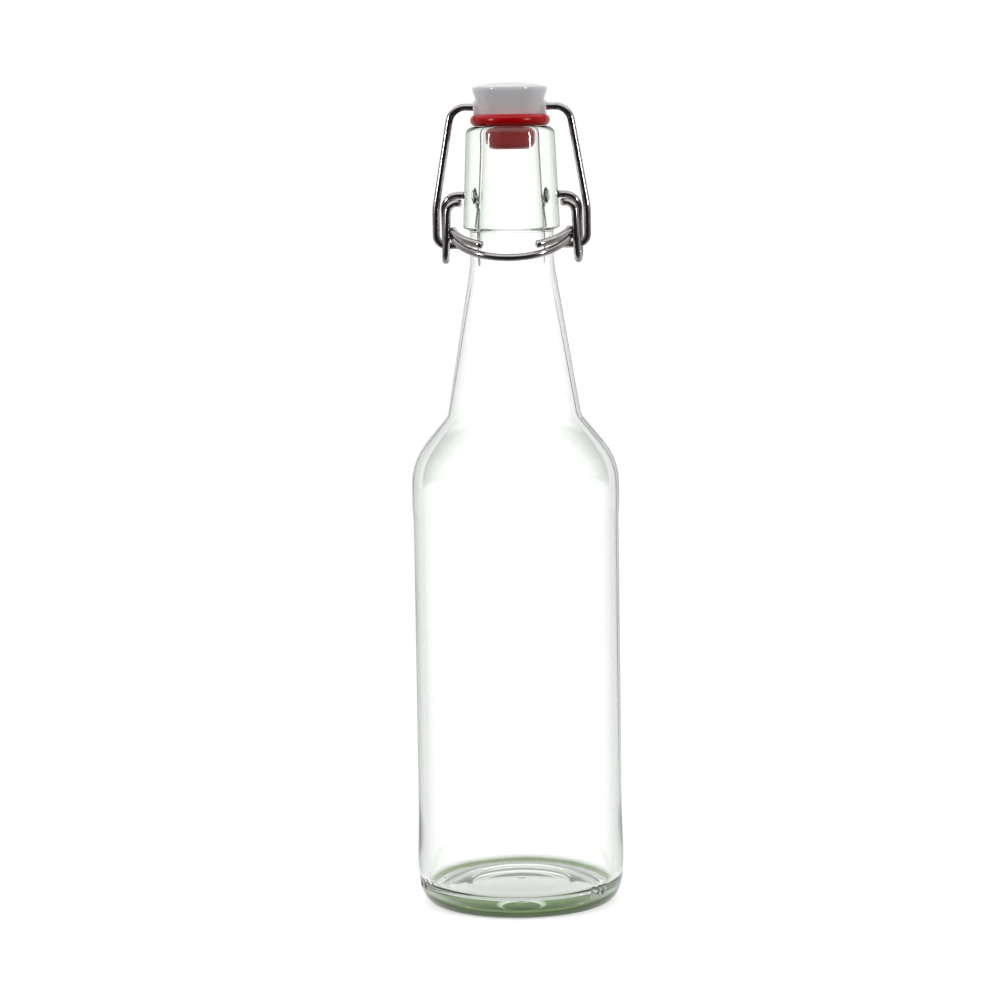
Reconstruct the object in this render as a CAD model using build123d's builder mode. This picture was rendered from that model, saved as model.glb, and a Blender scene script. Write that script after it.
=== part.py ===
from build123d import *
import math
import os

# Swing-top bottle, half litre.  Millimetres, +Z up, origin at the centre of the base.
# +X runs along the closure's hinge line and the thumb wire is on the -Y side (the front).

# ---- Bottle: outside --------------------------------------------------------------------------
GLASS_HEIGHT = 265.0        # base to the sealing lip
BASE_RING_INNER_R = 27.0    # flat ring that the bottle stands on
BASE_RING_OUTER_R = 29.3
PUSH_UP = 4.0               # height of the hollow under the base
HEEL_BAND_R = 35.35         # widest band, just above the heel
HEEL_BAND_BOTTOM = 11.0
HEEL_BAND_TOP = 21.0
PANEL_R = 34.9              # long straight panel between the two bands
PANEL_BOTTOM = 25.0
PANEL_TOP = 132.0
SHOULDER_BAND_R = 35.25
SHOULDER_BAND_BOTTOM = 137.0
SHOULDER_CORNER_Z = 152.1   # where the band and the slope of the shoulder would meet
SHOULDER_R = 22.0
NECK_ROOT_R = 22.65         # where the slope of the shoulder and the neck's cone would meet
NECK_ROOT_Z = 167.3
NECK_ROOT_FILLET = 5.0
NECK_R = 14.2               # straight stretch of the neck below the finish
NECK_TOP_Z = 218.5
NECK_TOP_BLEND = 30.0
BAND_BLEND = 12.0           # soft steps between the bands and the panel
PANEL_BLEND = 20.0

# ---- Bottle: finish (the thick ring of glass that carries the closure) --------------------------
FINISH_BOTTOM_Z = 231.0
FINISH_BOTTOM_R = 16.4
FINISH_TOP_R = 14.95
FINISH_TOP_FILLET = 2.8
FINISH_UNDER_DROP = 1.0     # the underside of the finish slopes down to the neck
FINISH_UNDER_FILLET = 0.8
FINISH_EDGE_FILLET = 0.7
LIP_BORE_R = 9.4
LIP_FILLET = 1.5
DIMPLE_Z = 242.0            # height of the two dimples that the wire pivots in
DIMPLE_MOUTH_R = 2.9
DIMPLE_BOTTOM_R = 1.6
DIMPLE_BOTTOM_X = 12.6
DIMPLE_OUTER_X = 17.0       # beyond the finish

# ---- Bottle: inside -----------------------------------------------------------------------------
INNER_BASE_Z = 6.5          # floor of the inside, at its edge
INNER_BASE_RISE = 2.0       # the floor's dome follows the push-up
INNER_BASE_CORNER = 3.5
INNER_FLOOR_R = 28.0        # edge of the domed part of the floor
INNER_BODY_R = 31.9
INNER_CORNER_DROP = 1.6     # the inside's corners lie this much below the outside's
INNER_SHOULDER_R = 18.0
INNER_NECK_ROOT_R = 19.8
INNER_NECK_ROOT_DROP = 0.9
INNER_NECK_ROOT_FILLET = 8.0
INNER_NECK_R = 10.8
INNER_FINISH_R = 11.0
INNER_NECK_BLEND = 40.0
LIP_BORE_END_Z = 257.0      # the bore is straight above this height

# ---- Closure wires ------------------------------------------------------------------------------
WIRE_R = 1.25
FOOT_Y = 0.6                # the bail's feet sit just behind the dimples: this holds it shut
FOOT_Z = 225.1
CROSSBAR_Z = 271.5
BAIL_TOP_X = 19.8           # half width of the bail at its crossbar
BAIL_KNEE_X = 25.6          # half width below the knees
BAIL_KNEE_Z = 237.5
BAIL_FOOT_TIP_X = 17.0
BAIL_TOP_FILLET = 5.5
BAIL_KNEE_FILLET = 20.0
BAIL_FOOT_FILLET = 3.5

LINK_TIP_X = 13.3           # end of the wire, inside the dimple
LINK_REAR_X = 22.75         # rear strand
LINK_FRONT_X = 22.3         # front strand, at the bottom of the loop
LINK_FRONT_TOP_X = 21.4
LINK_CUT_X = 16.8           # cut end of the front strand
LINK_CUT_Z = 239.4
LINK_CUT_BACK = 1.2         # the cut end bends back towards the dimple
LINK_SHOULDER_FILLET = 5.0
LINK_BEND_FILLET = 12.0
LINK_BOTTOM_FILLET = 2.7
LINK_CUT_FILLET = 3.4
LINK_BOTTOM_Z = 220.1
EYE_HALF_GAP = 1.5          # half of the gap that the foot turns in
EYE_TOP_Z = 230.0

THUMB_END_X = 19.50         # half width of the thumb wire where it meets the links
THUMB_END_Y = -2.2
THUMB_END_Z = 227.8
THUMB_REACH = 15.4          # from the ends forward to the middle, along the slope
THUMB_SLOPE = 24.6          # degrees, falling towards the front
THUMB_TAIL_SWEEP = 50.0     # degrees of arc in each doubled-back tail
THUMB_TAIL_RISE = 4.0       # degrees that the tails climb away from the arc
THUMB_TURN_R = 1.3          # turns at the ends, with the two strands almost touching

# ---- Stopper and gasket ---------------------------------------------------------------------------
SEAT_Z = 268.9              # where the stopper's cone meets the gasket
SEAT_R = 9.9
STOPPER_TOP_R = 12.6
STOPPER_RIM_Z = 277.0
STOPPER_EDGE_Z = 278.2
STOPPER_CROWN_Z = 279.8
STOPPER_RIM_FILLET = 0.6
EAR_R = 2.3                 # bosses round the crossbar, each with a rib down to the gasket
EAR_END_X = 12.3
CROSSBAR_CLEARANCE = 0.08
CROSSBAR_HOLE_END_X = 13.5  # beyond the ears
STEM_R = 4.2                # stem and button that the gasket is stretched over
BUTTON_R = 5.6
BUTTON_TOP_Z = 263.6
BUTTON_BOTTOM_Z = 260.0
BUTTON_CHAMFER = 0.8

GASKET_RIM_R = 13.5
GASKET_RIM_FILLET = 1.85    # the rim of the flange is almost half round
GASKET_UNDER_Z = 265.1      # a hair above the lip
PLUG_TOP_R = 8.6
PLUG_BOTTOM_R = 8.2
PLUG_BOTTOM_Z = 257.1
PLUG_CORNER = 3.0
PLUG_ROOT_FILLET = 0.4

os.makedirs("parts", exist_ok=True)


# ---- Bottle ---------------------------------------------------------------------------------------
with BuildPart() as bottle:
    # The section of the glass, from the heel up the outside, over the lip and down the inside.
    with BuildSketch(Plane.XZ):
        with BuildLine():
            inner_floor = ThreePointArc(
                (0, INNER_BASE_Z + INNER_BASE_RISE),
                (INNER_FLOOR_R * 0.52, INNER_BASE_Z + INNER_BASE_RISE * 0.75),
                (INNER_FLOOR_R, INNER_BASE_Z),
            )
            FilletPolyline(
                (HEEL_BAND_R, HEEL_BAND_BOTTOM),
                (HEEL_BAND_R, HEEL_BAND_TOP),
                (PANEL_R, PANEL_BOTTOM),
                (PANEL_R, PANEL_TOP),
                (SHOULDER_BAND_R, SHOULDER_BAND_BOTTOM),
                (SHOULDER_BAND_R, SHOULDER_CORNER_Z),
                (NECK_ROOT_R, NECK_ROOT_Z),
                (NECK_R, NECK_TOP_Z),
                (NECK_R, FINISH_BOTTOM_Z - FINISH_UNDER_DROP),
                (FINISH_BOTTOM_R, FINISH_BOTTOM_Z),
                (FINISH_TOP_R, GLASS_HEIGHT),
                (LIP_BORE_R, GLASS_HEIGHT),
                (LIP_BORE_R, LIP_BORE_END_Z),
                (INNER_FINISH_R, FINISH_BOTTOM_Z),
                (INNER_NECK_R, NECK_TOP_Z),
                (INNER_NECK_ROOT_R, NECK_ROOT_Z - INNER_NECK_ROOT_DROP),
                (INNER_BODY_R, SHOULDER_CORNER_Z - INNER_CORNER_DROP),
                (INNER_BODY_R, INNER_BASE_Z),
                inner_floor @ 1,
                radius=[
                    BAND_BLEND,
                    BAND_BLEND,
                    PANEL_BLEND,
                    PANEL_BLEND,
                    SHOULDER_R,
                    NECK_ROOT_FILLET,
                    NECK_TOP_BLEND,
                    FINISH_UNDER_FILLET,
                    FINISH_EDGE_FILLET,
                    FINISH_TOP_FILLET,
                    LIP_FILLET,
                    INNER_NECK_BLEND,
                    INNER_NECK_BLEND,
                    INNER_NECK_BLEND,
                    INNER_NECK_ROOT_FILLET,
                    INNER_SHOULDER_R,
                    INNER_BASE_CORNER,
                ],
            )
            Line(inner_floor @ 0, (0, PUSH_UP))
            ThreePointArc(
                (0, PUSH_UP),
                (BASE_RING_INNER_R * 0.55, PUSH_UP * 0.72),
                (BASE_RING_INNER_R, 0),
            )
            Line((BASE_RING_INNER_R, 0), (BASE_RING_OUTER_R, 0))
            EllipticalCenterArc(
                (BASE_RING_OUTER_R, HEEL_BAND_BOTTOM),
                HEEL_BAND_R - BASE_RING_OUTER_R,
                HEEL_BAND_BOTTOM,
                start_angle=270,
                arc_size=90,
            )
        make_face()
    revolve(axis=Axis.Z)

    # One dimple on each side, a blunt cone round the hinge line.
    for side in (-1, 1):
        with BuildSketch(Plane.XZ):
            with BuildLine():
                Polyline(
                    (side * DIMPLE_BOTTOM_X, DIMPLE_Z),
                    (side * DIMPLE_BOTTOM_X, DIMPLE_Z + DIMPLE_BOTTOM_R),
                    (side * DIMPLE_OUTER_X, DIMPLE_Z + DIMPLE_MOUTH_R),
                    (side * DIMPLE_OUTER_X, DIMPLE_Z),
                    close=True,
                )
            make_face()
        revolve(axis=Axis((0, 0, DIMPLE_Z), (1, 0, 0)), mode=Mode.SUBTRACT)


# ---- Bail wire: crossbar, two legs, two feet ------------------------------------------------------
def bail_y(height):
    """The bail is flat, and leans back from its crossbar to its feet."""
    return FOOT_Y * (CROSSBAR_Z - height) / (CROSSBAR_Z - FOOT_Z)


with BuildPart() as bail_wire:
    with BuildLine() as bail_path:
        FilletPolyline(
            (-BAIL_FOOT_TIP_X, FOOT_Y, FOOT_Z),
            (-BAIL_KNEE_X, FOOT_Y, FOOT_Z),
            (-BAIL_KNEE_X, bail_y(BAIL_KNEE_Z), BAIL_KNEE_Z),
            (-BAIL_TOP_X, 0, CROSSBAR_Z),
            (BAIL_TOP_X, 0, CROSSBAR_Z),
            (BAIL_KNEE_X, bail_y(BAIL_KNEE_Z), BAIL_KNEE_Z),
            (BAIL_KNEE_X, FOOT_Y, FOOT_Z),
            (BAIL_FOOT_TIP_X, FOOT_Y, FOOT_Z),
            radius=[
                BAIL_FOOT_FILLET,
                BAIL_KNEE_FILLET,
                BAIL_TOP_FILLET,
                BAIL_TOP_FILLET,
                BAIL_KNEE_FILLET,
                BAIL_FOOT_FILLET,
            ],
        )
    with BuildSketch(Plane(bail_path.line @ 0, z_dir=bail_path.line % 0)):
        Circle(WIRE_R)
    sweep()


# ---- Side links: one hairpin on each side -----------------------------------------------------------
def side_link(side):
    """From the dimple out and down, round the eye at the bottom, and up again to a cut end."""
    rear_y = FOOT_Y + EYE_HALF_GAP + WIRE_R
    front_y = FOOT_Y - EYE_HALF_GAP - WIRE_R
    with BuildPart() as link:
        with BuildLine() as link_path:
            FilletPolyline(
                (side * LINK_TIP_X, 0, DIMPLE_Z),
                (side * LINK_REAR_X, 0, DIMPLE_Z),
                (side * LINK_REAR_X, rear_y, EYE_TOP_Z),
                (side * LINK_REAR_X, rear_y, LINK_BOTTOM_Z),
                (side * LINK_FRONT_X, front_y, LINK_BOTTOM_Z),
                (side * LINK_FRONT_TOP_X, front_y, LINK_CUT_Z),
                (side * LINK_CUT_X, front_y + LINK_CUT_BACK, LINK_CUT_Z),
                radius=[
                    LINK_SHOULDER_FILLET,
                    LINK_BEND_FILLET,
                    LINK_BOTTOM_FILLET,
                    LINK_BOTTOM_FILLET,
                    LINK_CUT_FILLET,
                ],
            )
        with BuildSketch(Plane(link_path.line @ 0, z_dir=link_path.line % 0)):
            Circle(WIRE_R)
        sweep()
    return link


left_side_link = side_link(-1)
right_side_link = side_link(1)


# ---- Thumb wire: an arc round the front, doubled back at both ends ---------------------------------
slope_normal = Vector(
    0,
    -math.sin(math.radians(THUMB_SLOPE)),
    math.cos(math.radians(THUMB_SLOPE)),
)
slope_front = Vector(
    0,
    -math.cos(math.radians(THUMB_SLOPE)),
    -math.sin(math.radians(THUMB_SLOPE)),
)
thumb_end_middle = Vector(0, THUMB_END_Y, THUMB_END_Z)
# Radius of the arc that passes through both ends and the middle of the front.
thumb_arc_r = (THUMB_END_X**2 + THUMB_REACH**2) / (2 * THUMB_REACH)


def thumb_point(x, lift=0.0):
    """A point of the thumb arc at this x, lifted off its plane."""
    reach = THUMB_REACH - thumb_arc_r + math.sqrt(thumb_arc_r**2 - x**2)
    return thumb_end_middle + Vector(x, 0, 0) + slope_front * reach + slope_normal * lift


def thumb_outward(side):
    """The direction of the thumb arc at one end, pointing away from the bottle."""
    tangent_x = (thumb_arc_r - THUMB_REACH) / thumb_arc_r
    tangent_back = THUMB_END_X / thumb_arc_r
    return Vector(side * tangent_x, 0, 0) - slope_front * tangent_back


def thumb_turn_point(side, turned):
    """A point of the half turn at one end of the arc, this many degrees round from the arc."""
    out = thumb_outward(side) * math.sin(math.radians(turned))
    up = slope_normal * -math.cos(math.radians(turned))
    return thumb_point(side * THUMB_END_X, THUMB_TURN_R) + (out + up) * THUMB_TURN_R


def thumb_tail_point(side, turned):
    """A point of the doubled-back tail, this many degrees of arc from the half turn."""
    rise = math.radians(THUMB_TAIL_RISE)
    along = thumb_outward(side) * -math.cos(rise) + slope_normal * math.sin(rise)
    to_middle_x = -side * THUMB_END_X / thumb_arc_r
    to_middle_back = (thumb_arc_r - THUMB_REACH) / thumb_arc_r
    to_middle = Vector(to_middle_x, 0, 0) - slope_front * to_middle_back
    angle = math.radians(turned)
    step = along * math.sin(angle) + to_middle * (1 - math.cos(angle))
    return thumb_turn_point(side, 180 - THUMB_TAIL_RISE) + step * thumb_arc_r


with BuildPart() as thumb_wire:
    with BuildLine() as thumb_path:
        ThreePointArc(
            thumb_tail_point(-1, THUMB_TAIL_SWEEP),
            thumb_tail_point(-1, THUMB_TAIL_SWEEP / 2),
            thumb_tail_point(-1, 0),
        )
        ThreePointArc(
            thumb_tail_point(-1, 0),
            thumb_turn_point(-1, 90),
            thumb_point(-THUMB_END_X),
        )
        ThreePointArc(
            thumb_point(-THUMB_END_X),
            thumb_point(0),
            thumb_point(THUMB_END_X),
        )
        ThreePointArc(
            thumb_point(THUMB_END_X),
            thumb_turn_point(1, 90),
            thumb_tail_point(1, 0),
        )
        ThreePointArc(
            thumb_tail_point(1, 0),
            thumb_tail_point(1, THUMB_TAIL_SWEEP / 2),
            thumb_tail_point(1, THUMB_TAIL_SWEEP),
        )
    with BuildSketch(Plane(thumb_path.line @ 0, z_dir=thumb_path.line % 0)):
        Circle(WIRE_R)
    sweep()


# ---- Stopper: cone with two ears, stem and button ----------------------------------------------------
with BuildPart() as stopper:
    with BuildSketch(Plane.XZ):
        with BuildLine():
            Polyline(
                (0, BUTTON_BOTTOM_Z),
                (BUTTON_R - BUTTON_CHAMFER, BUTTON_BOTTOM_Z),
                (BUTTON_R, BUTTON_BOTTOM_Z + BUTTON_CHAMFER),
                (BUTTON_R, BUTTON_TOP_Z - BUTTON_CHAMFER),
                (STEM_R, BUTTON_TOP_Z),
                (STEM_R, SEAT_Z),
                (SEAT_R, SEAT_Z),
                (STOPPER_TOP_R, STOPPER_RIM_Z),
                (STOPPER_TOP_R, STOPPER_EDGE_Z),
            )
            ThreePointArc(
                (STOPPER_TOP_R, STOPPER_EDGE_Z),
                (STOPPER_TOP_R / 2, STOPPER_EDGE_Z + (STOPPER_CROWN_Z - STOPPER_EDGE_Z) * 0.76),
                (0, STOPPER_CROWN_Z),
            )
            Line((0, STOPPER_CROWN_Z), (0, BUTTON_BOTTOM_Z))
        make_face()
    revolve(axis=Axis.Z)
    rim_edges = (
        stopper.edges()
        .filter_by(GeomType.CIRCLE)
        .filter_by_position(Axis.Z, STOPPER_RIM_Z - 0.01, STOPPER_EDGE_Z + 0.01)
    )
    fillet(rim_edges, STOPPER_RIM_FILLET)
    # The ears: round at the crossbar, and straight down from there to the gasket.
    with BuildSketch(Plane.YZ):
        with Locations((0, CROSSBAR_Z)):
            Circle(EAR_R)
        with Locations((0, (SEAT_Z + CROSSBAR_Z) / 2)):
            Rectangle(2 * EAR_R, CROSSBAR_Z - SEAT_Z)
    extrude(amount=EAR_END_X, both=True)
    with BuildSketch(Plane.YZ):
        with Locations((0, CROSSBAR_Z)):
            Circle(WIRE_R + CROSSBAR_CLEARANCE)
    extrude(amount=CROSSBAR_HOLE_END_X, both=True, mode=Mode.SUBTRACT)


# ---- Gasket: sealing flange with a closed plug under it ------------------------------------------------
with BuildPart() as gasket:
    with BuildSketch(Plane.XZ):
        with BuildLine():
            FilletPolyline(
                (0, PLUG_BOTTOM_Z),
                (PLUG_BOTTOM_R, PLUG_BOTTOM_Z),
                (PLUG_TOP_R, GASKET_UNDER_Z),
                (GASKET_RIM_R, GASKET_UNDER_Z),
                (GASKET_RIM_R, SEAT_Z),
                (0, SEAT_Z),
                radius=[PLUG_CORNER, PLUG_ROOT_FILLET, GASKET_RIM_FILLET, GASKET_RIM_FILLET],
            )
            Line((0, SEAT_Z), (0, PLUG_BOTTOM_Z))
        make_face()
    revolve(axis=Axis.Z)
    # The cavity that the stopper's stem and button fill.
    with BuildSketch(Plane.XZ):
        with BuildLine():
            Polyline(
                (0, BUTTON_BOTTOM_Z),
                (BUTTON_R - BUTTON_CHAMFER, BUTTON_BOTTOM_Z),
                (BUTTON_R, BUTTON_BOTTOM_Z + BUTTON_CHAMFER),
                (BUTTON_R, BUTTON_TOP_Z - BUTTON_CHAMFER),
                (STEM_R, BUTTON_TOP_Z),
                (STEM_R, SEAT_Z),
                (0, SEAT_Z),
                close=True,
            )
        make_face()
    revolve(axis=Axis.Z, mode=Mode.SUBTRACT)


# ---- Files ------------------------------------------------------------------------------------------
bottle.part.label = "bottle"
bail_wire.part.label = "bail_wire"
left_side_link.part.label = "left_side_link"
right_side_link.part.label = "right_side_link"
thumb_wire.part.label = "thumb_wire"
stopper.part.label = "stopper"
gasket.part.label = "gasket"

export_step(bottle.part, "parts/bottle.step")
export_step(bail_wire.part, "parts/bail_wire.step")
export_step(left_side_link.part, "parts/left_side_link.step")
export_step(right_side_link.part, "parts/right_side_link.step")
export_step(thumb_wire.part, "parts/thumb_wire.step")
export_step(stopper.part, "parts/stopper.step")
export_step(gasket.part, "parts/gasket.step")
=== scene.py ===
import math

import bmesh
import bpy
from mathutils import Matrix, Vector, noise


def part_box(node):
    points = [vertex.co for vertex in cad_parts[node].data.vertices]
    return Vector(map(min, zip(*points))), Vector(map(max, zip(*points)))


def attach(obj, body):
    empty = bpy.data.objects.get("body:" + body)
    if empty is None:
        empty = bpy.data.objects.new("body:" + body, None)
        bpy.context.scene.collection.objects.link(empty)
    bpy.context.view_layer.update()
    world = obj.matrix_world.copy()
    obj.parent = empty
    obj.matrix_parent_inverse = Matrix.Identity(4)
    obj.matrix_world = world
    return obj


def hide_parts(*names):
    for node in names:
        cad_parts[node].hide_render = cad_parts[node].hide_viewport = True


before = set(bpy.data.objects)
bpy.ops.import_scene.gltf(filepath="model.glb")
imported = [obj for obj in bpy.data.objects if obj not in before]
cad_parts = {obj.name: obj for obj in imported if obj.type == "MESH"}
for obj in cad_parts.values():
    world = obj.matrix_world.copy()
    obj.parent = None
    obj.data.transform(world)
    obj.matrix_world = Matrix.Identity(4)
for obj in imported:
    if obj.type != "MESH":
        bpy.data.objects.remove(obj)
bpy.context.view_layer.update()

# Swing-top bottle, half litre. Sizes are in millimetres up to the point where a mesh is made.
MM = 0.001


def box_mm(node):
    low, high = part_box(node)
    return Vector(low) / MM, Vector(high) / MM


bottle_low, bottle_high = box_mm("bottle")
bail_low, bail_high = box_mm("bail_wire")
stopper_low, stopper_high = box_mm("stopper")
gasket_low, gasket_high = box_mm("gasket")

# ---- Bottle: outside ----------------------------------------------------------------------------
GLASS_HEIGHT = bottle_high.z
BASE_RING_INNER_R = 27.0
BASE_RING_OUTER_R = 29.3
PUSH_UP = 4.0
HEEL_BAND_R = -bottle_low.x
HEEL_BAND_BOTTOM = 11.0
HEEL_BAND_TOP = 17.5
PANEL_R = 34.9
PANEL_BOTTOM = 33.0
PANEL_TOP = 132.0
SHOULDER_BAND_R = 35.25
SHOULDER_BAND_BOTTOM = 137.0
SHOULDER_CORNER_Z = 152.1
SHOULDER_R = 22.0
NECK_ROOT_R = 22.65
NECK_ROOT_Z = 167.3
NECK_ROOT_FILLET = 5.0
BODY_FILLET = 300           # very soft steps at both ends of the heel band's slope
SHOULDER_BAND_FILLET = 20
NECK_FILLET = 30
NECK_R = 14.2
NECK_TOP_Z = 218.5
FINISH_BOTTOM_Z = 231.0
FINISH_BOTTOM_R = 16.4
FINISH_TOP_R = 14.95
FINISH_CHAMFER = 1.0        # height of the slope under the finish
FINISH_UNDER_FILLET = 0.8
FINISH_EDGE_FILLET = 0.7
FINISH_TOP_FILLET = 2.8
LIP_BORE_R = 9.4
LIP_FILLET = 1.5
DIMPLE_Z = 242.0
DIMPLE_MOUTH_R = 2.9
DIMPLE_BOTTOM_R = 1.6
DIMPLE_BOTTOM_X = 12.6
DIMPLE_OUTER_X = 17.0

# ---- Bottle: inside, and the small marks of the mould -------------------------------------------
INNER_BASE_Z = 6.5
INNER_BASE_RISE = 2.0
INNER_BASE_CORNER = 3.5
INNER_FLOOR_R = 28.0
INNER_BODY_R = 31.9
INNER_SHOULDER_Z = 150.5
INNER_NECK_ROOT_R = 19.8
INNER_NECK_ROOT_Z = 166.4
INNER_NECK_R = 10.8
INNER_FINISH_R = 11.0
LIP_BORE_END_Z = 257.0
LIP_BORE_OVERLAP = 3.0      # the inside skin starts this far above the end of the lip's bore
BORE_FILLET = 40
INNER_NECK_ROOT_FILLET = 8
INNER_SHOULDER_R = 18
WALL_RIPPLE = 0.16          # how uneven the blown inside is
RIPPLE_ROUND = 1.3          # how closely the ripple repeats round the wall, and up it
RIPPLE_UP = 0.035
SEAM_HEIGHT = 0.08
SEAM_HALF_WIDTH = 0.6
SEAM_START = (PANEL_BOTTOM + 2, PANEL_BOTTOM + 30)      # heights that the seam fades in and out over
SEAM_END = (205, 225)
KNURLS = 45                 # notches round the ring that the bottle stands on
KNURL_DEPTH = 0.15
BASE_STEP_R = 17.0          # round step under the base
BASE_STEP = 0.35
MARK_HEIGHT = 0.4           # plain bars and dots on the heel, in place of lettering
MARK_Z = 7.6
BAR_ANGLES = (-43, -38, -34)
BAR_HALF_HEIGHT = (1.2, 1.7)        # from the flat top of a mark to its foot
BAR_HALF_WIDTH = (0.4, 0.9)
DOT_ANGLES = (-156, -163)
DOT_R = (0.7, 1.3)

# ---- Closure wires ------------------------------------------------------------------------------
WIRE_R = 1.25
FOOT_Y = 0.6
FOOT_Z = 225.1
CROSSBAR_Z = bail_high.z - WIRE_R
BAIL_TOP_X = 19.8
BAIL_KNEE_X = bail_high.x - WIRE_R
BAIL_KNEE_Z = 237.5
BAIL_FOOT_TIP_X = 17.0
BAIL_TOP_FILLET = 5.5
BAIL_KNEE_FILLET = 20
BAIL_FOOT_FILLET = 3.5
LINK_TIP_X = 13.3
LINK_REAR_X = 22.75
LINK_FRONT_X = 22.3
LINK_FRONT_TOP_X = 21.4
LINK_CUT_X = 16.8
LINK_CUT_Z = 239.4
LINK_CUT_BACK = 1.2
LINK_BOTTOM_Z = 220.1
LINK_SHOULDER_FILLET = 5
LINK_BEND_FILLET = 12
LINK_BOTTOM_FILLET = 2.7
LINK_CUT_FILLET = 3.4
EYE_HALF_GAP = 1.5
EYE_TOP_Z = 230.0
THUMB_END_X = 19.50
THUMB_END_Y = -2.2
THUMB_END_Z = 227.8
THUMB_REACH = 15.4
THUMB_SLOPE = math.radians(24.6)
THUMB_TAIL_SWEEP = math.radians(50)
THUMB_TAIL_RISE = math.radians(4)
THUMB_TURN_R = 1.3

# ---- Stopper and gasket -------------------------------------------------------------------------
SEAT_Z = gasket_high.z
SEAT_R = 9.9
STOPPER_TOP_R = stopper_high.x
STOPPER_RIM_Z = 277.0
STOPPER_EDGE_Z = 278.2
STOPPER_CROWN_Z = stopper_high.z
STOPPER_RIM_FILLET = 0.6
STOPPER_RIM_BEND = 1.5      # where the cone meets the upright rim
STOPPER_TOP_EDGE = 1.2      # width of the rounded edge of the top
TOP_RING_DEPTH = 0.25       # shallow ring in the middle of the top
EAR_R = 2.3
EAR_END_X = 12.3
CROSSBAR_CLEARANCE = 0.12
HOLE_DISH = 0.7             # depth of the mouth of the crossbar's hole
STEM_R = 4.2
BUTTON_R = 5.6
BUTTON_TOP_Z = 263.6
BUTTON_BOTTOM_Z = 260.0
BUTTON_FILLET = 0.8
GASKET_RIM_R = 13.5
GASKET_RIM_FILLET = 1.85
GASKET_UNDER_Z = 265.1
PLUG_TOP_R = 8.6
PLUG_BOTTOM_R = 8.2
PLUG_BOTTOM_Z = gasket_low.z
PLUG_CORNER = 3.0
PLUG_ROOT_FILLET = 0.4

# ---- Looks --------------------------------------------------------------------------------------
CLEAR = (1.0, 1.0, 1.0)
GLASS_IOR = 1.5
GLASS_DEPTH_COLOUR = (0.82, 0.90, 0.80, 1)
GLASS_DEPTH_DENSITY = 24.0
HEEL_GREEN = (0.05, 0.085, 0.022)
HEEL_GREEN_HEIGHTS = (4.2, 7.6)     # mm: full green below the first, none above the second
HEEL_GREEN_RADII = (30.9, 32.0)     # mm: faint inside the first, full outside the second
UNDERSIDE_TINT = 0.22               # how much of the green the underside gets
PAINTED_EDGE_SHADE = (                       # painted edge shade on the glass's colour: (how edge on the glass is seen, how much light it passes)
    (0.0, 1.0),
    (0.30, 0.93),
    (0.46, 0.74),
    (0.61, 0.54),
    (0.72, 0.43),
    (0.80, 0.30),
    (0.88, 0.17),
    (1.0, 0.09),
)
EDGE_GREEN = 1.015                  # green against red and blue in the painted edge shade
BORE_SHADE_HEIGHTS = (222, 232)     # mm: the bore takes the edge shade above these
STEEL_DARK = (0.38, 0.355, 0.365)
STEEL_BRIGHT = (0.62, 0.59, 0.60)
STEEL_STAIN = (0.90, 0.87, 0.84)
PLASTIC_COLOURS = ((0.83, 0.83, 0.86), (0.85, 0.85, 0.875))
RUBBER_COLOURS = ((0.46, 0.0, 0.002), (0.54, 0.0, 0.004))

# ---- Stage and camera, in metres ----------------------------------------------------------------
FLOOR_RADIUS = 0.07
FLOOR_GLOW = 0.5
BACKDROP = (1.05, 1.05, 1.05, 1)
OVERHEAD = 1.2
OVERHEAD_SPAN = (0.45, 0.75)
ROOM_LIGHT = (                      # (-1 towards the camera to 1 behind the bottle, brightness)
    (-1.0, 0.02),
    (-0.5, 0.05),
    (-0.25, 0.25),
    (0.0, 0.38),
    (0.5, 0.60),
    (0.88, 0.75),
    (1.0, 0.92),
)
THROUGH_WHITE = 1.25                # the surround as seen through the glass
THROUGH_DARK = 0.25
STRIP_PLACE = Vector((0.75, -0.55, 0.42))
STRIP_SIZE = (0.06, 0.24)
STRIP_POWER = 2.4
LENS = 120.5
CAMERA_AZIMUTH = math.radians(3.3)
CAMERA_DISTANCE = 1.134
CAMERA_HEIGHT = 0.262
CAMERA_PITCH = math.radians(6.22)
CAMERA_TURN = math.radians(0.27)
CAMERA_ROLL = math.radians(-0.88)

# ---- Shapes -------------------------------------------------------------------------------------


def smooth(value, start, end):
    """0 before start, 1 after end, and a soft step between."""
    t = min(1.0, max(0.0, (value - start) / (end - start)))
    return t * t * (3 - 2 * t)


def soft_min(a, b, blend):
    """The smaller of two values, with a round corner where they cross."""
    h = min(1.0, max(0.0, 0.5 + 0.5 * (b - a) / blend))
    return b + (a - b) * h - blend * h * (1 - h)


def rounded_route(corners, radii, step=math.radians(8)):
    """Straight lines through the corners, with an arc of the given radius at each inner one."""
    route = [Vector(corners[0])]
    for i, radius in enumerate(radii, start=1):
        corner = Vector(corners[i])
        back = (Vector(corners[i - 1]) - corner).normalized()
        ahead = (Vector(corners[i + 1]) - corner).normalized()
        half = back.angle(ahead) / 2
        turn = math.pi - 2 * half
        if radius == 0 or turn < 0.002:
            route.append(corner)
            continue
        middle = corner + (back + ahead).normalized() * (radius / math.sin(half))
        first = corner + back * (radius / math.tan(half)) - middle
        last = corner + ahead * (radius / math.tan(half)) - middle
        count = max(3, math.ceil(turn / step))
        for k in range(count + 1):
            t = k / count
            arm = first * math.sin((1 - t) * turn) + last * math.sin(t * turn)
            route.append(middle + arm / math.sin(turn))
    route.append(Vector(corners[-1]))
    return route


def profile(corners, radii):
    """A rounded section in the XZ plane from (radius, height) corners."""
    return rounded_route([(r, 0, z) for r, z in corners], radii)


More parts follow.
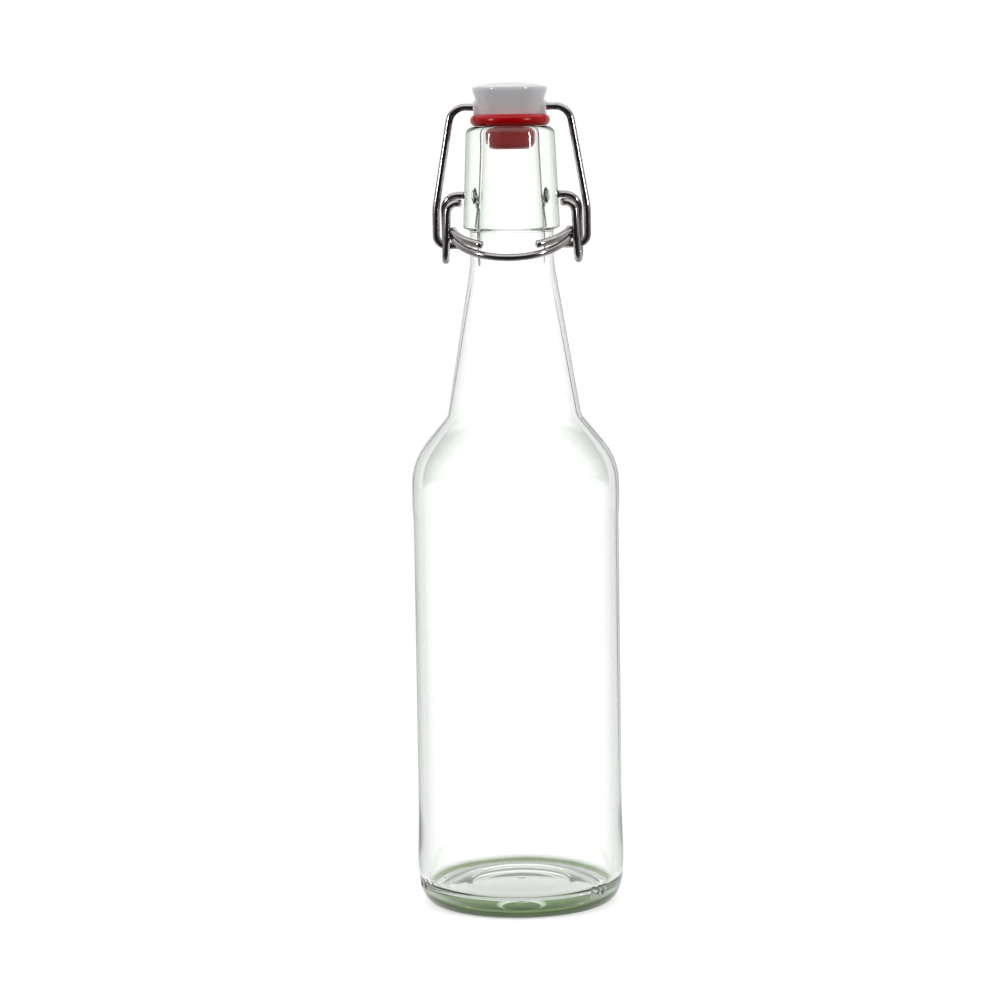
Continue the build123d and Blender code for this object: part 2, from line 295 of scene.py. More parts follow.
def halved(start, end, longest_at):
    """The points after start that split a line into pieces as short as longest_at asks for."""
    middle = (start + end) / 2
    if (end - start).length <= longest_at(middle):
        return [end]
    return halved(start, middle, longest_at) + halved(middle, end, longest_at)


def subdivided(route, longest_at):
    """The route with its long stretches split, and with points that repeat left out."""
    fine = [route[0]]
    for point in route[1:]:
        if (point - fine[-1]).length > 1e-4:
            fine += halved(fine[-1], point, longest_at)
    return fine


def turn_angles(step, fine_step, fine_ranges):
    """Angles round the Z axis in degrees, closer together inside the given ranges."""
    angles = []
    angle = -180.0
    while angle < 180.0 - 1e-6:
        angles.append(math.radians(angle))
        fine = any(low <= angle < high for low, high in fine_ranges)
        angle = round(angle + (fine_step if fine else step), 6)
    return angles


def plain(r, z, angle):
    """The shape of a lathed part that is the same all round."""
    return r, z


def make_object(name, verts, faces, uvs=None):
    """A smooth-shaded object in metres from a mesh in millimetres."""
    mesh = bpy.data.meshes.new(name)
    mesh.from_pydata([Vector(v) * MM for v in verts], [], faces)
    if uvs:
        layer = mesh.uv_layers.new(name="length")
        for loop, uv in zip(layer.data, uvs):
            loop.uv = uv
    shape = bmesh.new()
    shape.from_mesh(mesh)
    bmesh.ops.recalc_face_normals(shape, faces=shape.faces)
    shape.to_mesh(mesh)
    shape.free()
    mesh.polygons.foreach_set("use_smooth", [True] * len(mesh.polygons))
    obj = bpy.data.objects.new(name, mesh)
    bpy.context.scene.collection.objects.link(obj)
    return obj


def lathe(name, parts, angles):
    """A skin turned round the Z axis. Each part is a route and the function that shapes its points."""
    verts = []
    rings = []
    for route, shape in parts:
        for point in route:
            if point.x < 1e-6:
                rings.append([len(verts)])
                verts.append((0, 0, point.z))
                continue
            rings.append(range(len(verts), len(verts) + len(angles)))
            for angle in angles:
                r, z = shape(point.x, point.z, angle)
                verts.append((r * math.cos(angle), r * math.sin(angle), z))
    faces = []
    for low, high in zip(rings, rings[1:]):
        for i in range(len(angles)):
            j = (i + 1) % len(angles)
            if len(low) == 1:
                faces.append((low[0], high[j], high[i]))
            elif len(high) == 1:
                faces.append((low[i], low[j], high[0]))
            else:
                faces.append((low[i], low[j], high[j], high[i]))
    return make_object(name, verts, faces)


def tube(name, route, radius, sides=24, chamfer=0.3):
    """A round wire along the route, with chamfered cut ends."""
    points = [route[0], route[0].lerp(route[1], chamfer / (route[1] - route[0]).length)]
    points += route[1:-1]
    points += [route[-1].lerp(route[-2], chamfer / (route[-1] - route[-2]).length), route[-1]]
    radii = [radius * 0.72] + [radius] * (len(points) - 2) + [radius * 0.72]
    tangents = []
    for i in range(len(points)):
        ahead = points[min(i + 1, len(points) - 1)] - points[i]
        back = points[i] - points[max(i - 1, 0)]
        tangents.append((ahead.normalized() + back.normalized()).normalized())
    across = tangents[0].orthogonal().normalized()
    verts = []
    lengths = [0.0]
    for i, (point, reach) in enumerate(zip(points, radii)):
        across = (across - tangents[i] * across.dot(tangents[i])).normalized()
        other = tangents[i].cross(across)
        for k in range(sides):
            a = 2 * math.pi * k / sides
            verts.append(point + (across * math.cos(a) + other * math.sin(a)) * reach)
        if i:
            lengths.append(lengths[-1] + (point - points[i - 1]).length)
    faces = []
    uvs = []
    for i in range(len(points) - 1):
        for k in range(sides):
            n = (k + 1) % sides
            low, high = i * sides, (i + 1) * sides
            faces.append((low + k, low + n, high + n, high + k))
            left, right = k / sides, (k + 1) / sides
            uvs += [(left, lengths[i]), (right, lengths[i])]
            uvs += [(right, lengths[i + 1]), (left, lengths[i + 1])]
    for start in (0, (len(points) - 1) * sides):
        faces.append(tuple(range(start, start + sides)))
        uvs += [(0.5, 0.0)] * sides
    return make_object(name, verts, faces, uvs)


# ---- Materials ----------------------------------------------------------------------------------


def new_material(name):
    """A node material with a Principled shader: the tree, the shader and the output."""
    mat = bpy.data.materials.new(name)
    mat.use_nodes = True
    tree = mat.node_tree
    tree.nodes.clear()
    out = tree.nodes.new("ShaderNodeOutputMaterial")
    shader = tree.nodes.new("ShaderNodeBsdfPrincipled")
    tree.links.new(shader.outputs["BSDF"], out.inputs["Surface"])
    return mat, tree, shader, out


def add_ramp(tree, source, stops):
    """A colour ramp over the source, with stops of (position, colour)."""
    ramp = tree.nodes.new("ShaderNodeValToRGB")
    elements = ramp.color_ramp.elements
    for element, (position, colour) in zip(elements, (stops[0], stops[-1])):
        element.position = position
        element.color = (*colour, 1)
    for position, colour in stops[1:-1]:
        elements.new(position).color = (*colour, 1)
    tree.links.new(source, ramp.inputs["Fac"])
    return ramp.outputs["Color"]


def add_range(tree, source, span, low, high):
    """The source's span of values mapped to low..high."""
    node = tree.nodes.new("ShaderNodeMapRange")
    node.inputs["From Min"].default_value = span[0]
    node.inputs["From Max"].default_value = span[1]
    node.inputs["To Min"].default_value = low
    node.inputs["To Max"].default_value = high
    tree.links.new(source, node.inputs["Value"])
    return node.outputs["Result"]


def add_noise(tree, coordinate, scale, stretch=(1, 1, 1), detail=3.0):
    """Noise over the named coordinate, stretched along its axes."""
    coords = tree.nodes.new("ShaderNodeTexCoord")
    mapping = tree.nodes.new("ShaderNodeMapping")
    mapping.inputs["Scale"].default_value = stretch
    tree.links.new(coords.outputs[coordinate], mapping.inputs["Vector"])
    pattern = tree.nodes.new("ShaderNodeTexNoise")
    pattern.inputs["Scale"].default_value = scale
    pattern.inputs["Detail"].default_value = detail
    tree.links.new(mapping.outputs["Vector"], pattern.inputs["Vector"])
    return pattern.outputs["Fac"]


def add_bump(tree, shader, height, distance):
    bump = tree.nodes.new("ShaderNodeBump")
    bump.inputs["Distance"].default_value = distance
    bump.inputs["Strength"].default_value = 1.0
    tree.links.new(height, bump.inputs["Height"])
    tree.links.new(bump.outputs["Normal"], shader.inputs["Normal"])


def multiplied_value(tree, a, b):
    node = tree.nodes.new("ShaderNodeMath")
    node.operation = "MULTIPLY"
    tree.links.new(a, node.inputs[0])
    tree.links.new(b, node.inputs[1])
    return node.outputs["Value"]


def multiplied(tree, a, b):
    node = tree.nodes.new("ShaderNodeMix")
    node.data_type = "RGBA"
    node.blend_type = "MULTIPLY"
    node.inputs["Factor"].default_value = 1.0
    tree.links.new(a, node.inputs["A"])
    tree.links.new(b, node.inputs["B"])
    return node.outputs["Result"]


def glass_material():
    """Clear glass: green where the base is thick, and greyed by painted shade where it is seen edge on."""
    mat, tree, shader, out = new_material("clear_glass")
    coords = tree.nodes.new("ShaderNodeTexCoord")
    split = tree.nodes.new("ShaderNodeSeparateXYZ")
    tree.links.new(coords.outputs["Object"], split.inputs[0])
    flat = tree.nodes.new("ShaderNodeVectorMath")
    flat.operation = "MULTIPLY"
    flat.inputs[1].default_value = (1, 1, 0)
    tree.links.new(coords.outputs["Object"], flat.inputs[0])
    radius = tree.nodes.new("ShaderNodeVectorMath")
    radius.operation = "LENGTH"
    tree.links.new(flat.outputs["Vector"], radius.inputs[0])
    heights = [height * MM for height in HEEL_GREEN_HEIGHTS]
    radii = [reach * MM for reach in HEEL_GREEN_RADII]
    low = add_range(tree, split.outputs["Z"], heights, 1.0, 0.0)
    wide = add_range(tree, radius.outputs["Value"], radii, UNDERSIDE_TINT, 1.0)
    heel = multiplied_value(tree, low, wide)
    by_height = add_ramp(tree, heel, [(0.0, CLEAR), (1.0, HEEL_GREEN)])
    # Painted shade: the glass's colour turns grey where its surface is seen edge on.
    edge = tree.nodes.new("ShaderNodeLayerWeight")
    edge.inputs["Blend"].default_value = 0.5
    painted_shade_stops = [(place, (grey, grey * EDGE_GREEN, grey)) for place, grey in PAINTED_EDGE_SHADE]
    painted_shade = add_ramp(tree, edge.outputs["Facing"], painted_shade_stops)
    inside = tree.nodes.new("ShaderNodeAttribute")
    inside.attribute_name = "inside"
    outside_only = tree.nodes.new("ShaderNodeMix")
    outside_only.data_type = "RGBA"
    tree.links.new(inside.outputs["Fac"], outside_only.inputs["Factor"])
    tree.links.new(painted_shade, outside_only.inputs["A"])
    outside_only.inputs["B"].default_value = (*CLEAR, 1)
    colour = multiplied(tree, by_height, outside_only.outputs["Result"])
    tree.links.new(colour, shader.inputs["Base Color"])
    shader.inputs["Roughness"].default_value = 0.0
    shader.inputs["IOR"].default_value = GLASS_IOR
    shader.inputs["Transmission Weight"].default_value = 1.0
    volume = tree.nodes.new("ShaderNodeVolumeAbsorption")
    volume.inputs["Color"].default_value = GLASS_DEPTH_COLOUR
    volume.inputs["Density"].default_value = GLASS_DEPTH_DENSITY
    tree.links.new(volume.outputs["Volume"], out.inputs["Volume"])
    return mat


def steel_material():
    """Bright drawn wire, streaked along its length and a little stained."""
    mat, tree, shader, out = new_material("bright_steel")
    streaks = add_noise(tree, "UV", 1.0, (26.0, 0.35, 1.0), 4.0)
    stains = add_noise(tree, "Object", 160.0, detail=2.0)
    by_streak = add_ramp(tree, streaks, [(0.3, STEEL_DARK), (0.7, STEEL_BRIGHT)])
    by_stain = add_ramp(tree, stains, [(0.35, STEEL_STAIN), (0.62, CLEAR)])
    tree.links.new(multiplied(tree, by_streak, by_stain), shader.inputs["Base Color"])
    tree.links.new(add_range(tree, streaks, (0.3, 0.7), 0.20, 0.10), shader.inputs["Roughness"])
    add_bump(tree, shader, streaks, 0.000005)
    shader.inputs["Metallic"].default_value = 1.0
    return mat


def plastic_material():
    """Glossy white moulding, with the faintest flow marks."""
    mat, tree, shader, out = new_material("white_plastic")
    flow = add_noise(tree, "Object", 90.0, (1.0, 1.0, 0.4))
    colour = add_ramp(tree, flow, list(zip((0.3, 0.7), PLASTIC_COLOURS)))
    tree.links.new(colour, shader.inputs["Base Color"])
    tree.links.new(add_range(tree, flow, (0.3, 0.7), 0.10, 0.17), shader.inputs["Roughness"])
    shader.inputs["Specular IOR Level"].default_value = 0.5
    return mat


def rubber_material():
    """Smooth red rubber with a soft sheen."""
    mat, tree, shader, out = new_material("red_rubber")
    bloom = add_noise(tree, "Object", 220.0)
    grain = add_noise(tree, "Object", 1800.0, detail=2.0)
    colour = add_ramp(tree, bloom, list(zip((0.3, 0.7), RUBBER_COLOURS)))
    tree.links.new(colour, shader.inputs["Base Color"])
    tree.links.new(add_range(tree, bloom, (0.3, 0.7), 0.16, 0.26), shader.inputs["Roughness"])
    add_bump(tree, shader, grain, 0.000002)
    shader.inputs["Specular IOR Level"].default_value = 0.3
    return mat


# ---- Bottle -------------------------------------------------------------------------------------


def side_swing(angle):
    """How far an angle is from the nearer end of the hinge line."""
    return (angle + math.pi / 2) % math.pi - math.pi / 2


def outer_glass(r, z, angle):
    """The outside: dimples for the links, mould seams and the marks on the heel."""
    swing = side_swing(angle)
    across = r * math.sin(swing)
    from_hinge = math.hypot(across, z - DIMPLE_Z)
    if from_hinge < 2 * DIMPLE_MOUTH_R:
        slope = (DIMPLE_OUTER_X - DIMPLE_BOTTOM_X) / (DIMPLE_MOUTH_R - DIMPLE_BOTTOM_R)
        wall_x = DIMPLE_BOTTOM_X + max(0.0, from_hinge - DIMPLE_BOTTOM_R) * slope
        return soft_min(r, wall_x / math.cos(swing), 0.5), z
    seam = smooth(z, *SEAM_START) * (1 - smooth(z, *SEAM_END))
    r += SEAM_HEIGHT * seam * math.exp(-((across / SEAM_HALF_WIDTH) ** 2))
    degrees = math.degrees(angle)
    for middle in BAR_ANGLES:
        along = abs(degrees - middle) * math.radians(1) * r
        tall = 1 - smooth(abs(z - MARK_Z), *BAR_HALF_HEIGHT)
        r += MARK_HEIGHT * tall * (1 - smooth(along, *BAR_HALF_WIDTH))
    for middle in DOT_ANGLES:
        along = (degrees - middle) * math.radians(1) * r
        r += MARK_HEIGHT * (1 - smooth(math.hypot(along, z - MARK_Z), *DOT_R))
    return min(r, HEEL_BAND_R), z


def inner_glass(r, z, angle):
    """The inside, which was blown and isn't quite even."""
    place = Vector((math.cos(angle) * RIPPLE_ROUND, math.sin(angle) * RIPPLE_ROUND, z * RIPPLE_UP))
    ease = smooth(z, INNER_BASE_Z, 30) * (1 - 0.6 * smooth(z, 160, 225))
    return r + WALL_RIPPLE * ease * noise.noise(place), z


def under_glass(r, z, angle):
    """The underside, with a round step and with notches in the ring that the bottle stands on."""
    z += BASE_STEP * (1 - smooth(r, BASE_STEP_R - 0.6, BASE_STEP_R + 0.6))
    ring = smooth(r, BASE_RING_INNER_R - 0.4, BASE_RING_INNER_R + 0.4)
    ring *= 1 - smooth(r, BASE_RING_OUTER_R - 0.4, BASE_RING_OUTER_R + 0.4)
    notch = 0.5 - 0.5 * math.cos(KNURLS * angle)
    return r, max(0.0, z) + KNURL_DEPTH * ring * smooth(notch, 0.35, 0.8)


def wall_middle(z):
    """A radius that lies in the middle of the wall at this height."""
    body = (PANEL_R + INNER_BODY_R) / 2
    root = (NECK_ROOT_R + INNER_NECK_ROOT_R) / 2
    neck = (NECK_R + INNER_NECK_R) / 2
    shoulder_z = SHOULDER_CORNER_Z - 12
    if z < INNER_BASE_Z - 1.2:
        return 0.0
    if z < shoulder_z:
        return body
    if z < NECK_ROOT_Z:
        return body + (root - body) * (z - shoulder_z) / (NECK_ROOT_Z - shoulder_z)
    return root + (neck - root) * min(1.0, (z - NECK_ROOT_Z) / (NECK_TOP_Z - NECK_ROOT_Z))


def fine_near_marks(point):
    """Short pieces near the dimples and the marks, longer ones elsewhere."""
    if abs(point.z - DIMPLE_Z) < 5:
        return 0.35
    if point.z < 12:
        return 0.6
    if point.z < 45:
        return 1.2
    return 3.5


def build_bottle():
    under = [Vector((BASE_RING_OUTER_R, 0, 0)), Vector((BASE_RING_INNER_R, 0, 0))]
    for k in range(1, 17):
        t = k / 16
        under.append(Vector((BASE_RING_INNER_R * (1 - t), 0, PUSH_UP * (1 - (1 - t) ** 2))))
    under = subdivided(list(reversed(under)), lambda p: 0.9)
    heel = []
    for k in range(1, 15):
        a = math.pi / 2 * k / 14
        r = BASE_RING_OUTER_R + (HEEL_BAND_R - BASE_RING_OUTER_R) * math.sin(a)
        heel.append(Vector((r, 0, HEEL_BAND_BOTTOM * (1 - math.cos(a)))))
    outside = heel + profile(
        [
            (HEEL_BAND_R, HEEL_BAND_BOTTOM),
            (HEEL_BAND_R, HEEL_BAND_TOP),
            (PANEL_R, PANEL_BOTTOM),
            (PANEL_R, PANEL_TOP),
            (SHOULDER_BAND_R, SHOULDER_BAND_BOTTOM),
            (SHOULDER_BAND_R, SHOULDER_CORNER_Z),
            (NECK_ROOT_R, NECK_ROOT_Z),
            (NECK_R, NECK_TOP_Z),
            (NECK_R, FINISH_BOTTOM_Z - FINISH_CHAMFER),
            (FINISH_BOTTOM_R, FINISH_BOTTOM_Z),
            (FINISH_TOP_R, GLASS_HEIGHT),
            (LIP_BORE_R, GLASS_HEIGHT),
            (LIP_BORE_R, LIP_BORE_END_Z + LIP_BORE_OVERLAP),
        ],
        [
            BODY_FILLET,
            BODY_FILLET,
            SHOULDER_BAND_FILLET,
            SHOULDER_BAND_FILLET,
            SHOULDER_R,
            NECK_ROOT_FILLET,
            NECK_FILLET,
            FINISH_UNDER_FILLET,
            FINISH_EDGE_FILLET,
            FINISH_TOP_FILLET,
            LIP_FILLET,
        ],
    )
    inside = profile(
        [
            (LIP_BORE_R, LIP_BORE_END_Z + LIP_BORE_OVERLAP),
            (LIP_BORE_R, LIP_BORE_END_Z),
            (INNER_FINISH_R, FINISH_BOTTOM_Z),
            (INNER_NECK_R, NECK_TOP_Z),
            (INNER_NECK_ROOT_R, INNER_NECK_ROOT_Z),
            (INNER_BODY_R, INNER_SHOULDER_Z),
            (INNER_BODY_R, INNER_BASE_Z),
            (INNER_FLOOR_R, INNER_BASE_Z),
        ],
        [
            BORE_FILLET,
            BORE_FILLET,
            BORE_FILLET,
            INNER_NECK_ROOT_FILLET,
            INNER_SHOULDER_R,
            INNER_BASE_CORNER,
        ],
    )[1:]
    for k in range(1, 13):
        t = k / 12
        rise = INNER_BASE_RISE * (1 - (1 - t) ** 2)
        inside.append(Vector((INNER_FLOOR_R * (1 - t), 0, INNER_BASE_Z + rise)))
    near_dimples = [(-14, 14), (-180, -166), (166, 180)]
    near_marks = [
        (BAR_ANGLES[0] - 5, BAR_ANGLES[-1] + 10),
        (DOT_ANGLES[-1] - 4, DOT_ANGLES[0] + 4),
    ]
    angles = turn_angles(2, 0.5, near_dimples + near_marks)
    outside = subdivided(outside, fine_near_marks)
    inside = subdivided(inside, lambda p: 3.5)
    glass = lathe(
        "bottle_glass",
        [(under, under_glass), (outside, outer_glass), (inside, inner_glass)],
        angles,
    )
    # The edge shade belongs to the outside, and to the bore only up in the thick finish.
    marks = glass.data.attributes.new("inside", "FLOAT", "POINT")
    for vert, mark in zip(glass.data.vertices, marks.data):
        x, y, z = vert.co / MM
        within = math.hypot(x, y) < wall_middle(z)
        mark.value = 1 - smooth(z, *BORE_SHADE_HEIGHTS) if within else 0.0
    return glass


# ---- Wires --------------------------------------------------------------------------------------


def bail_y(height):
    """How far back the bail stands at a height: it leans from its feet to the crossbar."""
    return FOOT_Y * (CROSSBAR_Z - height) / (CROSSBAR_Z - FOOT_Z)


def build_bail():
    right = [
        (BAIL_TOP_X, 0, CROSSBAR_Z),
        (BAIL_KNEE_X, bail_y(BAIL_KNEE_Z), BAIL_KNEE_Z),
        (BAIL_KNEE_X, FOOT_Y, FOOT_Z),
        (BAIL_FOOT_TIP_X, FOOT_Y, FOOT_Z),
    ]
    left = [(-x, y, z) for x, y, z in reversed(right)]
    bends = [BAIL_TOP_FILLET, BAIL_KNEE_FILLET, BAIL_FOOT_FILLET]
    return tube("bail", rounded_route(left + right, bends[::-1] + bends), WIRE_R)


def build_link(name, side):
    rear_y = FOOT_Y + EYE_HALF_GAP + WIRE_R
    front_y = FOOT_Y - EYE_HALF_GAP - WIRE_R
    corners = [
        (side * LINK_TIP_X, 0, DIMPLE_Z),
        (side * LINK_REAR_X, 0, DIMPLE_Z),
        (side * LINK_REAR_X, rear_y, EYE_TOP_Z),
        (side * LINK_REAR_X, rear_y, LINK_BOTTOM_Z),
        (side * LINK_FRONT_X, front_y, LINK_BOTTOM_Z),
        (side * LINK_FRONT_TOP_X, front_y, LINK_CUT_Z),
        (side * LINK_CUT_X, front_y + LINK_CUT_BACK, LINK_CUT_Z),
    ]
    bends = [
        LINK_SHOULDER_FILLET,
        LINK_BEND_FILLET,
        LINK_BOTTOM_FILLET,
        LINK_BOTTOM_FILLET,
        LINK_CUT_FILLET,
    ]
    return tube(name, rounded_route(corners, bends), WIRE_R)


def build_thumb_wire():
    normal = Vector((0, -math.sin(THUMB_SLOPE), math.cos(THUMB_SLOPE)))
    front = Vector((0, -math.cos(THUMB_SLOPE), -math.sin(THUMB_SLOPE)))
    arc_r = (THUMB_END_X**2 + THUMB_REACH**2) / (2 * THUMB_REACH)
    sweep = math.asin(THUMB_END_X / arc_r)
    middle = Vector((0, THUMB_END_Y, THUMB_END_Z)) + front * (THUMB_REACH - arc_r)

    def arc_point(a, lift):
        return middle + (Vector((1, 0, 0)) * math.sin(a) + front * math.cos(a)) * arc_r + normal * lift

    half = []
    for k in range(25):
        half.append(arc_point(sweep * k / 24, 0))
    outward = Vector((1, 0, 0)) * math.cos(sweep) - front * math.sin(sweep)
    turn_middle = arc_point(sweep, THUMB_TURN_R)
    for k in range(1, 13):
        a = (math.pi - THUMB_TAIL_RISE) * k / 12
        half.append(turn_middle + (outward * math.sin(a) - normal * math.cos(a)) * THUMB_TURN_R)
    tail_start = half[-1]
    along = normal * math.sin(THUMB_TAIL_RISE) - outward * math.cos(THUMB_TAIL_RISE)
    inward = Vector((-1, 0, 0)) * math.sin(sweep) - front * math.cos(sweep)
    for k in range(1, 13):
        a = THUMB_TAIL_SWEEP * k / 12
        half.append(tail_start + (along * math.sin(a) + inward * (1 - math.cos(a))) * arc_r)
    mirrored = [Vector((-p.x, p.y, p.z)) for p in reversed(half[1:])]
    return tube("thumb_loop", mirrored + half, WIRE_R)


# ---- Stopper and gasket -------------------------------------------------------------------------


def with_ears(r, z, angle):
    """The stopper's cone, with an ear on each side for the crossbar to turn in."""
    if r < SEAT_R - 0.01 or z < SEAT_Z - 0.01:
        return r, z
    swing = side_swing(angle)
    across = r * math.sin(swing)
    from_bar = math.hypot(across, z - CROSSBAR_Z)
    beyond = (abs(across) if z < CROSSBAR_Z else from_bar) - EAR_R
    flat_end = EAR_END_X / math.cos(swing)
    lift = 1 - smooth(beyond, -0.5, 0.25)
    if flat_end > r:
        r += (flat_end - r) * lift
    r -= HOLE_DISH * (1 - smooth(from_bar, WIRE_R, WIRE_R + 2 * CROSSBAR_CLEARANCE))
    return r, z


def button_route():
    """The stem and the button that hold the gasket."""
    corners = [
        (0, BUTTON_BOTTOM_Z),
        (BUTTON_R, BUTTON_BOTTOM_Z),
        (BUTTON_R, BUTTON_TOP_Z),
        (STEM_R, BUTTON_TOP_Z),
        (STEM_R, SEAT_Z),
    ]
    return profile(corners, [BUTTON_FILLET, BUTTON_FILLET, 0])


def build_stopper():
    sides = profile(
        [
            (SEAT_R - 1, SEAT_Z),
            (SEAT_R, SEAT_Z),
            (STOPPER_TOP_R, STOPPER_RIM_Z),
            (STOPPER_TOP_R, STOPPER_EDGE_Z),
            (STOPPER_TOP_R - STOPPER_TOP_EDGE, STOPPER_EDGE_Z + 0.12),
        ],
        [0, STOPPER_RIM_BEND, STOPPER_RIM_FILLET],
    )
    top = []
    for k in range(1, 41):
        r = (STOPPER_TOP_R - STOPPER_TOP_EDGE) * (1 - k / 40)
        z = STOPPER_EDGE_Z + (STOPPER_CROWN_Z - STOPPER_EDGE_Z) * (1 - (r / STOPPER_TOP_R) ** 2)
        z -= TOP_RING_DEPTH * smooth(r, 0.9, 1.5) * (1 - smooth(r, 2.2, 2.8))
        top.append(Vector((r, 0, z)))
    angles = turn_angles(3, 0.75, [(-18, 18), (-180, -162), (162, 180)])
    sides = subdivided(sides, lambda p: 0.3 if p.z < CROSSBAR_Z + 4 else 1.5)
    return lathe("stopper_cap", [(button_route(), plain), (sides, with_ears), (top, plain)], angles)


def build_gasket():
    flange = profile(
        [
            (0, PLUG_BOTTOM_Z),
            (PLUG_BOTTOM_R, PLUG_BOTTOM_Z),
            (PLUG_TOP_R, GASKET_UNDER_Z),
            (GASKET_RIM_R, GASKET_UNDER_Z),
            (GASKET_RIM_R, SEAT_Z),
            (STEM_R, SEAT_Z),
        ],
        [PLUG_CORNER, PLUG_ROOT_FILLET, GASKET_RIM_FILLET, GASKET_RIM_FILLET],
    )
    flange = subdivided(flange, lambda p: 1.5)
    cavity = list(reversed(button_route()))
    return lathe("gasket_ring", [(flange, plain), (cavity[1:], plain)], turn_angles(3, 3, []))


# ---- Stage --------------------------------------------------------------------------------------


def add_floor():
    bpy.ops.mesh.primitive_circle_add(vertices=96, radius=FLOOR_RADIUS, fill_type="NGON")
    floor = bpy.context.object
    floor.name = "floor"
    mat, tree, shader, out = new_material("pale_floor")
    shader.inputs["Base Color"].default_value = (0.9, 0.9, 0.9, 1)
    shader.inputs["Roughness"].default_value = 0.9
    shader.inputs["Emission Color"].default_value = (1, 1, 1, 1)
    shader.inputs["Emission Strength"].default_value = FLOOR_GLOW
    floor.data.materials.append(mat)


def add_world():
    """White behind the bottle, greyer at the sides and dark towards the camera.

    Light that has crossed both walls of the bottle sees plain white, so that the glass is clear from every
    side. Other light that leaves the glass sees it darker towards the front, above and below.
    """
    world = bpy.data.worlds.new("studio")
    bpy.context.scene.world = world
    world.use_nodes = True
    tree = world.node_tree
    tree.nodes.clear()
    out = tree.nodes.new("ShaderNodeOutputWorld")
    background = tree.nodes.new("ShaderNodeBackground")
    background.inputs["Strength"].default_value = 1.0
    tree.links.new(background.outputs["Background"], out.inputs["Surface"])
    coords = tree.nodes.new("ShaderNodeTexCoord")
    split = tree.nodes.new("ShaderNodeSeparateXYZ")
    tree.links.new(coords.outputs["Generated"], split.inputs[0])
    around = add_ramp(
        tree,
        add_range(tree, split.outputs["Y"], (-1.0, 1.0), 0.0, 1.0),
        [(place / 2 + 0.5, (grey, grey, grey)) for place, grey in ROOM_LIGHT],
    )
    above = add_range(tree, split.outputs["Z"], OVERHEAD_SPAN, 0.0, 1.0)
    lit = tree.nodes.new("ShaderNodeMix")
    lit.data_type = "RGBA"
    tree.links.new(above, lit.inputs["Factor"])
    tree.links.new(around, lit.inputs["A"])
    lit.inputs["B"].default_value = (OVERHEAD, OVERHEAD, OVERHEAD, 1)
    steep = tree.nodes.new("ShaderNodeMath")
    steep.operation = "ABSOLUTE"
    tree.links.new(split.outputs["Z"], steep.inputs[0])
    level = add_range(tree, steep.outputs["Value"], (0.35, 0.8), 1.0, 0.35)
    facing = add_range(tree, split.outputs["Y"], (-0.4, 0.35), THROUGH_DARK, THROUGH_WHITE)
    path = tree.nodes.new("ShaderNodeLightPath")
    crossings = path.outputs["Transmission Depth"]
    past_both_walls = add_range(tree, crossings, (3.0, 4.0), 0.0, THROUGH_WHITE)
    unscattered = add_range(tree, path.outputs["Diffuse Depth"], (0.0, 1.0), 1.0, 0.0)
    through = tree.nodes.new("ShaderNodeMath")
    through.operation = "MAXIMUM"
    tree.links.new(multiplied_value(tree, level, facing), through.inputs[0])
    tree.links.new(multiplied_value(tree, past_both_walls, unscattered), through.inputs[1])
    refracted = tree.nodes.new("ShaderNodeMix")
    refracted.data_type = "RGBA"
    tree.links.new(path.outputs["Is Transmission Ray"], refracted.inputs["Factor"])
    tree.links.new(lit.outputs["Result"], refracted.inputs["A"])
    tree.links.new(through.outputs["Value"], refracted.inputs["B"])
    seen = tree.nodes.new("ShaderNodeMix")
    seen.data_type = "RGBA"
    tree.links.new(path.outputs["Is Camera Ray"], seen.inputs["Factor"])
    tree.links.new(refracted.outputs["Result"], seen.inputs["A"])
    seen.inputs["B"].default_value = BACKDROP
    tree.links.new(seen.outputs["Result"], background.inputs["Color"])


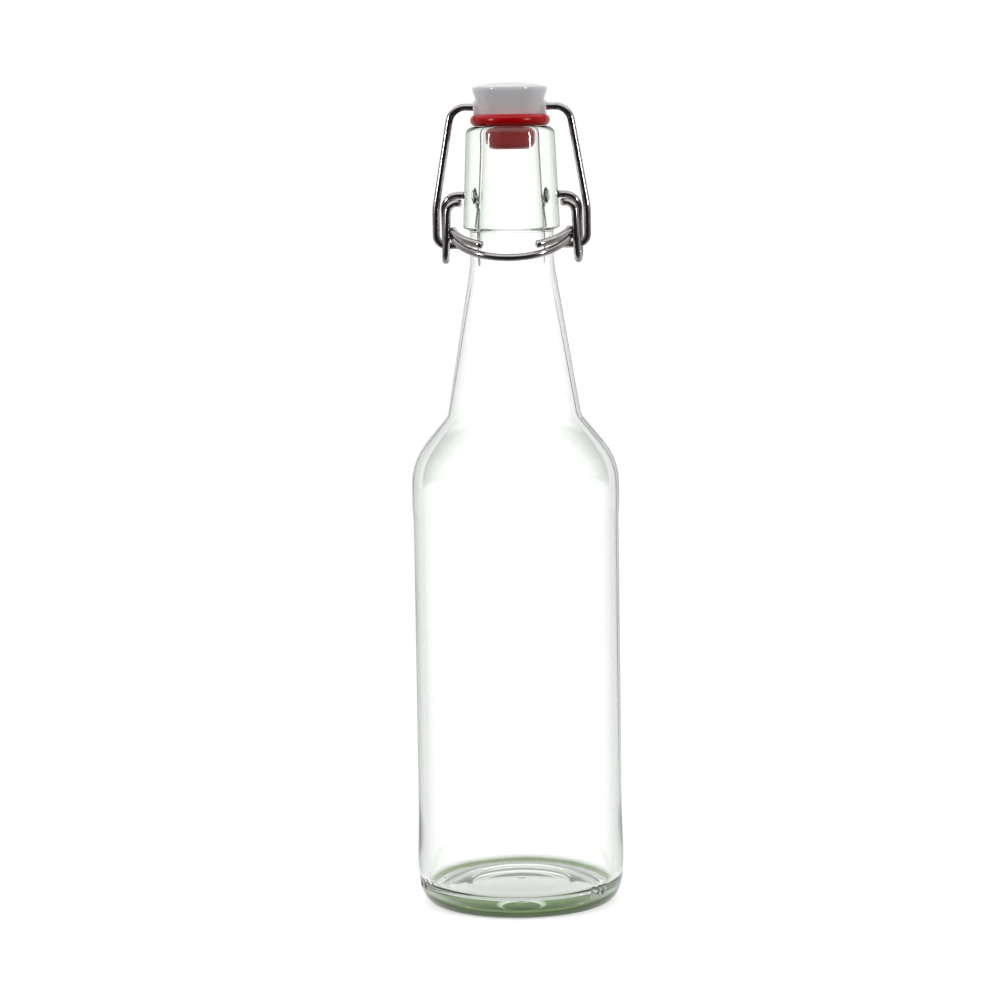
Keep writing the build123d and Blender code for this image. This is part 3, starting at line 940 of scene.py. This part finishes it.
def add_strip(name, side):
    """A tall soft light beside the camera, aimed at the stopper."""
    light = bpy.data.lights.new(name, "AREA")
    light.shape = "RECTANGLE"
    light.size = STRIP_SIZE[0]
    light.size_y = STRIP_SIZE[1]
    light.energy = STRIP_POWER
    lamp = bpy.data.objects.new(name, light)
    bpy.context.scene.collection.objects.link(lamp)
    lamp.location = (side * STRIP_PLACE.x, STRIP_PLACE.y, STRIP_PLACE.z)
    toward = Vector((0, 0, CROSSBAR_Z * MM)) - lamp.location
    lamp.rotation_euler = toward.to_track_quat("-Z", "Y").to_euler()


def add_camera():
    """Level with the mouth, a little to the right of the front, and tipped down."""
    data = bpy.data.cameras.new("camera")
    data.lens = LENS
    data.sensor_width = 36.0
    camera = bpy.data.objects.new("camera", data)
    bpy.context.scene.collection.objects.link(camera)
    side = CAMERA_DISTANCE * math.sin(CAMERA_AZIMUTH)
    camera.location = (side, -CAMERA_DISTANCE * math.cos(CAMERA_AZIMUTH), CAMERA_HEIGHT)
    camera.rotation_euler = (
        Matrix.Rotation(CAMERA_AZIMUTH + CAMERA_TURN, 3, "Z")
        @ Matrix.Rotation(math.radians(90) - CAMERA_PITCH, 3, "X")
        @ Matrix.Rotation(CAMERA_ROLL, 3, "Z")
    ).to_euler()
    bpy.context.scene.camera = camera


# ---- Everything in place ------------------------------------------------------------------------

steel = steel_material()
pieces = (
    (build_bottle(), "bottle", "bottle", "bottle_glass", glass_material()),
    (build_bail(), "bail_wire", "bail", "closure_wire", steel),
    (build_link("left_link", -1), "left_side_link", "lever", "closure_wire", steel),
    (build_link("right_link", 1), "right_side_link", "lever", "closure_wire", steel),
    (build_thumb_wire(), "thumb_wire", "lever", "closure_wire", steel),
    (build_stopper(), "stopper", "stopper", "stopper_plastic", plastic_material()),
    (build_gasket(), "gasket", "stopper", "gasket_rubber", rubber_material()),
)
for piece, node, body, slot_name, material in pieces:
    piece.data.materials.append(material)
    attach(piece, body)
    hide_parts(node)

add_floor()
add_world()
add_strip("left_strip", -1)
add_strip("right_strip", 1)
add_camera()
bpy.context.scene.view_settings.view_transform = "Standard"
